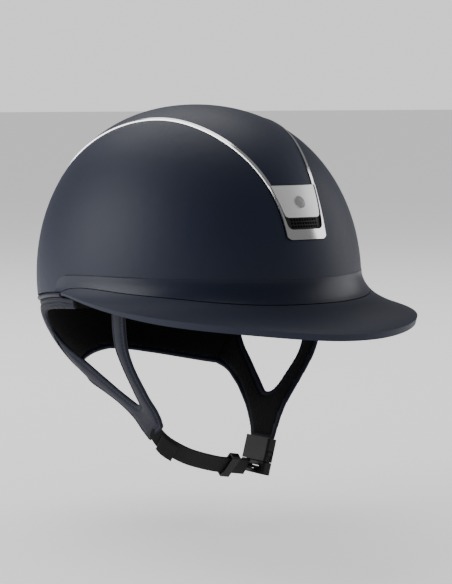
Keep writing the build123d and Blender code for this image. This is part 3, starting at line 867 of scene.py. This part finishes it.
class HELMET_OT_pads(HelmetOperator, bpy.types.Operator):
    """Stuff the five liner pads"""

    bl_idname = "helmet.pads"
    bl_label = "Liner pads"

    def build(self, sizes):
        cloth = knitted_cloth("pad cloth", (0.010, 0.010, 0.012), 1.6)
        for node in PAD_NODES:
            self.stuffed(node, sizes.pad_swell, cloth)

    def stuffed(self, node, swell, cloth):
        """One pad: the CAD solid, drawn in a little, blown up as cloth and capped."""
        pad = bring(node.replace("_pad", "_cushion"), merged(node), cloth, None, "padding", node)
        remesh = pad.modifiers.new("even mesh", "REMESH")
        remesh.mode = "VOXEL"
        remesh.voxel_size = PAD_VOXEL
        self.apply(pad)
        shape = opened(pad.data)
        for _ in range(3):
            bmesh.ops.smooth_vert(shape, verts=shape.verts, factor=0.5, use_axis_x=True,
                                  use_axis_y=True, use_axis_z=True)
        shape.to_mesh(pad.data)
        shape.free()
        rest = [v.co.copy() for v in pad.data.vertices]
        self.blow_up(pad)
        for v, was in zip(pad.data.vertices, rest):
            moved = v.co - was
            if moved.length > swell:
                v.co = was + moved.normalized() * swell
        finer = pad.modifiers.new("smooth", "SUBSURF")
        finer.levels = finer.render_levels = 1
        self.apply(pad)
        for face in pad.data.polygons:
            face.use_smooth = True
        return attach(pad, "comfort_liner")

    def apply(self, piece):
        """Apply a piece's modifiers to its mesh."""
        bpy.context.view_layer.update()
        done = evaluated_mesh(piece)
        piece.modifiers.clear()
        piece.data = done

    def blow_up(self, piece):
        """Run the cloth for a few frames with air pressure inside and no gravity."""
        blown = piece.modifiers.new("air", "CLOTH")
        blown.settings.quality = 4
        blown.settings.mass = 0.2
        blown.settings.use_pressure = True
        blown.settings.uniform_pressure_force = AIR_PRESSURE
        blown.settings.effector_weights.gravity = 0.0
        blown.settings.tension_stiffness = 20
        blown.settings.compression_stiffness = 20
        scene = bpy.context.scene
        for step in range(AIR_FRAMES):
            scene.frame_set(step + 1)
        self.apply(piece)
        scene.frame_set(1)


# Nape band: (height, half width, half length) of its outer form, and its outline in side view
NAPE_LEVELS = [(-4, 106, 133), (-20, 104.5, 131), (-32, 99.5, 129.5), (-44, 92, 126),
               (-56, 82.5, 119.5), (-72, 68.5, 108)]
NAPE_INNER = [(-3, -15.6), (30, -18.5), (50, -22), (60, -27), (62.6, -35.7)]
NAPE_FOOT = [(55.9, -71.2), (65, -70.4), (76, -69.4), (90, -68.5), (105, -67), (120, -65)]
NAPE_FOOT_MIDDLE = (0, -62 * MM)  # the foot at the middle of the back, in flat coordinates
NAPE_TOP_FROM, NAPE_TOP_TO = -3 * MM, 131 * MM  # along Y
NAPE_TOP_DROP = 4.2 * MM  # from the shell's edge
NAPE_SPREAD = 120 * MM    # flat length of one radian round the back
NAPE_INSET = 1.7 * MM     # from the band's outer form to its middle
LINING_START = 2.4        # from the rim to a leather piece's cloth lining, in edge rolls
PIPING_SWEEP = 84         # degrees to each side of the back

# The piping rolls: name, radius, drop below the shell's edge, inset, CAD nodes
ROLLS = (("edge_roll", 1.85 * MM, 2.2 * MM, 0.9 * MM, ("edge_piping",)),
         ("second_roll", 1.35 * MM, 5.0 * MM, 2.2 * MM, ()))

nape_width = reading(smooth_line([(z, w) for z, w, _ in NAPE_LEVELS]))
nape_length = reading(smooth_line([(z, h) for z, _, h in NAPE_LEVELS]))


def ease(share):
    """A smooth step from 0 to 1."""
    share = min(1.0, max(0.0, share))
    return share * share * (3 - 2 * share)


class HELMET_OT_nape(HelmetOperator, bpy.types.Operator):
    """Sew the padded nape band and the piping rolls above it"""

    bl_idname = "helmet.nape"
    bl_label = "Nape band and piping"

    def build(self, sizes):
        hide = leather("navy nape leather", sizes.hide, 0.56)

        def place(p, q):
            angle = p / NAPE_SPREAD
            wide, long = nape_width(q) - NAPE_INSET, nape_length(q) - NAPE_INSET
            return (wide * math.sin(angle), long * math.cos(angle), q)

        def inwards(at):
            return Vector((-at.x, -at.y, 0)).normalized()

        roll = sizes.edge_roll
        outer = bound_edge(roll, 1.5 * MM, 4 * MM)
        inner = bound_edge(roll, 0.9 * MM, 4 * MM)
        shape = cut_piece(self.outline(), place, inner, outer, 0.85 * MM)
        band = bring("nape_padding", shape, hide, "helmet", "leather", "nape_band")
        black = knitted_cloth("nape lining", (0.004, 0.004, 0.005))
        line_inside(band, black, inwards, LINING_START * roll)
        self.piping(sizes)

    def flat(self, line):
        """A side-view line in the band's flat coordinates, on the left side."""
        angles = [math.acos(min(1.0, max(-1.0, y / nape_length(z)))) for y, z in line]
        return np.array([(a * NAPE_SPREAD, z) for a, (_, z) in zip(angles, line)])

    def outline(self):
        """The band's outline: the foot, one end, the top along the shell's edge, the other end."""
        mirror = np.array([-1, 1])
        edge = smooth_line(SHELL_EDGE)
        edge = edge[(edge[:, 0] > NAPE_TOP_FROM) & (edge[:, 0] < NAPE_TOP_TO)] - (0, NAPE_TOP_DROP)
        top = self.flat(edge)
        top = np.vstack([top, [(0, top[-1][1])]])
        inner = self.flat(smooth_line(NAPE_INNER))
        joint = self.flat(straight(NAPE_INNER[-1], NAPE_FOOT[0]))
        one_span = 17  # the foot's last span only steers the line before it
        foot = np.vstack([self.flat(smooth_line(NAPE_FOOT)[:-one_span]), NAPE_FOOT_MIDDLE])
        foot = self.soften(foot)
        end = np.vstack([top[:1], inner[:1]])
        left = [(end, True), (inner, True), (joint, False), (foot, True)]
        right = [(line[::-1] * mirror, free) for line, free in reversed(left)]
        return [(top[::-1], True), *left, *right, (top * mirror, True)]

    def soften(self, foot):
        """Even out the foot's line across the back."""
        (p_end, q_end), q_middle = foot[0], foot[-1][1]
        p = np.linspace(p_end, 0, 40)
        drawn = np.interp(p, foot[::-1, 0], foot[::-1, 1])
        eased = [q_end + (q_middle - q_end) * ease(1 - value / p_end) for value in p]
        return np.column_stack([p, 0.3 * drawn + 0.7 * np.array(eased)])

    def piping(self, sizes):
        """Two rolls in the joint between the shell's edge and the band."""
        trim = leather("navy piping", shade(sizes.hide, 1.25), 0.42)
        edge = reading(smooth_line(SHELL_EDGE))
        for name, radius, drop, inset, nodes in ROLLS:
            points = round_shell(lambda y, drop=drop: edge(y) - drop, PIPING_SWEEP, 1, inset=inset)
            roll_along(name, points, radius, trim, "helmet", "piping", *nodes)


# The side straps lie in a curved sheet, (x, z) in front view, turned a little about Z
SHEET = [(85.5, 2), (84.5, -32), (79, -53), (66, -75), (53, -95), (43, -126)]
SHEET_TURN = math.radians(4.5)
SHEET_ORIGIN = -30 * MM

# Along Y, where a rear strap leaves the sheet and lies flush with the nape band
JOIN_START = 34 * MM
JOIN_END = 60 * MM

# Outlines of the straps in side view, (y, z), front to back
FRONT_EDGE = [(-37.3, -3), (-37.3, -40), (-37, -60), (-35.2, -78.6), (-34.6, -90)]
FRONT_BACK = [(-17.1, -78.9), (-21.4, -57), (-20.2, -40), (-20, -3)]
CROTCH = [(12.6, -73.4), (-3.4, -83), (-9, -85.4), (-14.6, -83.6), (-17.1, -78.9)]
REAR_TOP = [(64.5, -30.5), (62.2, -36.5), (57.2, -43), (47.8, -51), (35.6, -59), (22.7, -67),
            (12.6, -73.4)]
REAR_FOOT = [(6.5, -97), (20.8, -86.8), (31.8, -81.2), (44, -76), (55.4, -71.3), (63, -69.8)]
END_RIGHT = [(-33, -99.5), (-9, -112)]
END_LEFT = [(-32, -118), (-8, -118)]
BACK_RIGHT = [(-9, -112), (-1, -105.5), (6.5, -97)]
BACK_LEFT = [(-8, -118), (-3.5, -109), (6.5, -97)]


class HELMET_OT_harness(HelmetOperator, bpy.types.Operator):
    """Sew the padded side straps, one forked piece each side"""

    bl_idname = "helmet.harness"
    bl_label = "Side straps"

    def build(self, sizes):
        hide = leather("navy strap leather", sizes.hide, 0.56)
        black = knitted_cloth("strap lining", (0.004, 0.004, 0.005))
        reach = reading(smooth_line(SHEET)[:, ::-1])
        roll = sizes.edge_roll
        padded = bound_edge(roll, sizes.strap_crown, 2.2 * MM)
        lining = bound_edge(roll, 0.4 * MM, 3.0 * MM)
        for side, name in SIDES:

            def place(p, q, side=side):
                out = reach(q)
                turn_y = math.tan(SHEET_TURN) * (SHEET_ORIGIN + out * math.sin(SHEET_TURN) - p)
                x = out * math.cos(SHEET_TURN) + turn_y
                round_back = math.sqrt(max(0.0, 1 - (p / nape_length(q)) ** 2))
                share = ease((p - JOIN_START) / (JOIN_END - JOIN_START))
                x += share * (nape_width(q) * round_back - NAPE_INSET - x)
                return (side * x, p, q)

            front, back = (padded, lining) if side > 0 else (lining, padded)
            shape = cut_piece(self.outline(side), place, front, back, 0.8 * MM)
            nodes = [f"{name}_front_strap", f"{name}_rear_strap", f"{name}_yoke"]
            strap = bring(f"{name}_harness", shape, hide, "helmet", "leather", *nodes)
            inward = Vector((-side, 0, 0))
            line_inside(strap, black, lambda at, inward=inward: inward, LINING_START * roll)

    def outline(self, side):
        """The forked strap's outline in side view."""
        end, back = (END_LEFT, BACK_LEFT) if side > 0 else (END_RIGHT, BACK_RIGHT)
        return [
            (smooth_line([*FRONT_EDGE, end[0]]), True),
            (straight(*end), True),
            (smooth_line([*back[:-1], *REAR_FOOT]), True),
            (straight(REAR_FOOT[-1], REAR_TOP[0]), False),
            (smooth_line(REAR_TOP), True),
            (smooth_line(CROTCH), True),
            (smooth_line(FRONT_BACK), True),
            (straight(FRONT_BACK[-1], FRONT_EDGE[0]), True),
        ]


# Chin webbing: its middle line in front view, (x, z), and how its width leans forward
WEBBING_PLACE = -20 * MM
WEBBING_LINE = [(-51.2, -100.5), (-49, -104.5), (-44.8, -109.8), (-37, -116), (-20, -124.8),
                (2, -131.8), (15, -134.2), (31, -137.1)]
TAIL_LINE = [(-46.0, -111.2), (-41, -116.2), (-33.0, -121.4)]
LEAN = Vector((0, -0.6, 0.8))
WEBBING_HALF_WIDTH = 7.5 * MM
WEBBING_HALF_THICKNESS = 0.85 * MM
WEBBING_CORNER = 0.7 * MM

# Where the webbing stops following the helmet, and where it follows the latch
BEND_START = (-0.030, -0.02, -0.12)
BEND_END = (0.026, -0.02, -0.137)

# The loop round the latch's bar, (out, down) from the buckle's top
LOOP_LINE = [(-8.5, 22.2), (-3, 22.1), (3.4, 22.1), (4.9, 22.8), (5.1, 26.0)]
BUCKLE_TOP = Vector((44.3, -20, -116.5)) * MM
BUCKLE_TILT = math.radians(15)


class HELMET_OT_webbing(HelmetOperator, bpy.types.Operator):
    """Weave the chin strap, its folded tail, the loop in the latch and the keeper"""

    bl_idname = "helmet.webbing"
    bl_label = "Chin strap"

    def build(self, sizes):
        weave = woven_tape("black webbing", (0.0050, 0.0050, 0.0055))
        plastic = moulded_plastic("keeper plastic", (0.0055, 0.0055, 0.0060))
        strap = self.tape("chin_tape", WEBBING_LINE, weave)
        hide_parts("chin_webbing")
        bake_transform(strap, "helmet", "latch", start=BEND_START, end=BEND_END)
        tail = self.tape("tail_tape", TAIL_LINE, weave)
        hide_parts("webbing_tail")
        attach(tail, "helmet")
        down = Vector((-math.sin(BUCKLE_TILT), 0, -math.cos(BUCKLE_TILT)))
        out = Vector((math.cos(BUCKLE_TILT), 0, -math.sin(BUCKLE_TILT)))
        points = [BUCKLE_TOP + (out * a + down * b) * MM for a, b in LOOP_LINE]
        line = [(point.x / MM, point.z / MM) for point in points]
        loop = self.tape("loop_tape", line, weave, Vector((0, 1, 0)))
        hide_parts("webbing_loop")
        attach(loop, "latch")
        hard_piece("keeper_loop", "strap_keeper", plastic, "webbing", eased=0.25 * MM)

    def tape(self, name, line, weave, lean=LEAN):
        """A length of tape along a front-view line."""
        path = smooth_line(line)
        far = np.concatenate([[0], np.cumsum(np.linalg.norm(np.diff(path, axis=0), axis=1))])
        total = far[-1]

        def place(p, q):
            x = float(np.interp(p, far, path[:, 0]))
            z = float(np.interp(p, far, path[:, 1]))
            if p > total:
                slope = (path[-1] - path[-2]) / (far[-1] - far[-2])
                x, z = path[-1] + slope * (p - total)
            return Vector((x, WEBBING_PLACE, z)) + lean * q

        half = WEBBING_HALF_WIDTH
        corners = [(0, -half), (total, -half), (total, half), (0, half), (0, -half)]
        runs = [(np.array([a, b]), True) for a, b in zip(corners, corners[1:])]
        thickness = even_edge(WEBBING_HALF_THICKNESS, WEBBING_CORNER)
        shape = cut_piece(runs, place, thickness, thickness, 0.5 * MM)
        return bring(name, shape, weave, None, "webbing")


class HELMET_OT_buckle(HelmetOperator, bpy.types.Operator):
    """Finish the magnetic side-slide buckle"""

    bl_idname = "helmet.buckle"
    bl_label = "Buckle"

    def build(self, sizes):
        plastic = moulded_plastic("black buckle", (0.0045, 0.0045, 0.0050), 0.40)
        steel = polished_metal("magnet steel", (0.5, 0.5, 0.5), 0.3)
        for name, node in (("buckle_body", "buckle_housing"), ("buckle_slider", "buckle_latch"),
                           ("buckle_root", "buckle_tab")):
            hard_piece(name, node, plastic, "buckle", eased=0.6 * MM)
        hard_piece("magnet_body", "housing_magnet", steel, "steel")
        hard_piece("magnet_slider", "latch_magnet", steel, "steel")


CAMERA_LENS = 128.7
CAMERA_SHIFT = (0.0512, -0.0233)
CAMERA_DISTANCE = 1.5
CAMERA_AZIMUTH = math.radians(-35.3)
CAMERA_ELEVATION = math.radians(5.04)
FLOOR_DROP = 0.03
FLOOR_REACH = 30.0
SURROUND_SEEN = 1.1   # how bright the surround looks
SURROUND_FELT = 0.224  # how much light it gives

# The soft lights: name, place, width and power in watts
LIGHTS = (("overhead", (0.2, 1.0, 1.7), 2.0, 22),
          ("rear left", (-2.1, 1.2, 0.8), 2.2, 52),
          ("front right", (2.2, -0.6, 0.7), 2.2, 24))


class HELMET_OT_stage(HelmetOperator, bpy.types.Operator):
    """Set the pale floor, the soft lights and the camera"""

    bl_idname = "helmet.stage"
    bl_label = "Stage"

    def build(self, sizes):
        self.camera()
        self.floor()
        self.surroundings()
        for light in LIGHTS:
            self.light(*light)

    def camera(self):
        """Look at the origin from the front right of the wearer."""
        data = bpy.data.cameras.new("camera")
        data.lens = CAMERA_LENS
        data.shift_x, data.shift_y = CAMERA_SHIFT
        camera = bpy.data.objects.new("camera", data)
        flat = CAMERA_DISTANCE * math.cos(CAMERA_ELEVATION)
        camera.location = (flat * math.sin(CAMERA_AZIMUTH), -flat * math.cos(CAMERA_AZIMUTH),
                           CAMERA_DISTANCE * math.sin(CAMERA_ELEVATION))
        camera.rotation_euler = (math.pi / 2 - CAMERA_ELEVATION, 0, CAMERA_AZIMUTH)
        bpy.context.scene.collection.objects.link(camera)
        bpy.context.scene.camera = camera

    def floor(self):
        """A wide pale floor under the helmet."""
        shape = bmesh.new()
        bmesh.ops.create_grid(shape, x_segments=8, y_segments=8, size=FLOOR_REACH)
        for v in shape.verts:
            v.co.z = CAD_BOX[0].z - FLOOR_DROP
        mesh = bpy.data.meshes.new("floor")
        shape.to_mesh(mesh)
        shape.free()
        floor = bpy.data.objects.new("floor", mesh)
        mesh.materials.append(floor_paper("studio paper", (0.86, 0.86, 0.86)))
        bpy.context.scene.collection.objects.link(floor)

    def surroundings(self):
        """A soft, even surround."""
        world = bpy.data.worlds.new("surround")
        world.use_nodes = True
        tree = world.node_tree
        tree.nodes.clear()
        path = tree.nodes.new("ShaderNodeLightPath")
        both = tree.nodes.new("ShaderNodeMixShader")
        out = tree.nodes.new("ShaderNodeOutputWorld")
        tree.links.new(path.outputs["Is Camera Ray"], both.inputs[0])
        for place, strength in ((1, SURROUND_FELT), (2, SURROUND_SEEN)):
            background = tree.nodes.new("ShaderNodeBackground")
            background.inputs["Color"].default_value = (1, 1, 1, 1)
            background.inputs["Strength"].default_value = strength
            tree.links.new(background.outputs[0], both.inputs[place])
        tree.links.new(both.outputs[0], out.inputs["Surface"])
        bpy.context.scene.world = world

    def light(self, name, place, size, power):
        """One soft box aimed at the helmet."""
        data = bpy.data.lights.new(name, "AREA")
        data.shape = "DISK"
        data.size = size
        data.energy = power
        light = bpy.data.objects.new(name, data)
        light.location = place
        light.rotation_euler = Vector(place).to_track_quat("Z", "Y").to_euler()
        bpy.context.scene.collection.objects.link(light)


OPERATORS = (HELMET_OT_stage, HELMET_OT_shell, HELMET_OT_trims, HELMET_OT_brim, HELMET_OT_foam,
             HELMET_OT_lining, HELMET_OT_pads, HELMET_OT_nape, HELMET_OT_harness,
             HELMET_OT_webbing, HELMET_OT_buckle)


class HELMET_PT_pieces(bpy.types.Panel):
    """The helmet's sizes, colours and pieces"""

    bl_label = "Riding helmet"
    bl_space_type = "VIEW_3D"
    bl_region_type = "UI"
    bl_category = "Helmet"

    def draw(self, context):
        for name in HelmetSettings.__annotations__:
            self.layout.prop(context.scene.helmet_settings, name)
        for operator in OPERATORS:
            self.layout.operator(operator.bl_idname)


CLASSES = (HelmetSettings, *OPERATORS, HELMET_PT_pieces)


def register():
    for cls in CLASSES:
        bpy.utils.register_class(cls)
    bpy.types.Scene.helmet_settings = PointerProperty(type=HelmetSettings)


def unregister():
    del bpy.types.Scene.helmet_settings
    for cls in reversed(CLASSES):
        bpy.utils.unregister_class(cls)


def main():
    """Build every piece in order."""
    register()
    for operator in OPERATORS:
        group, name = operator.bl_idname.split(".")
        getattr(getattr(bpy.ops, group), name)()


if __name__ == "__main__":
    main()
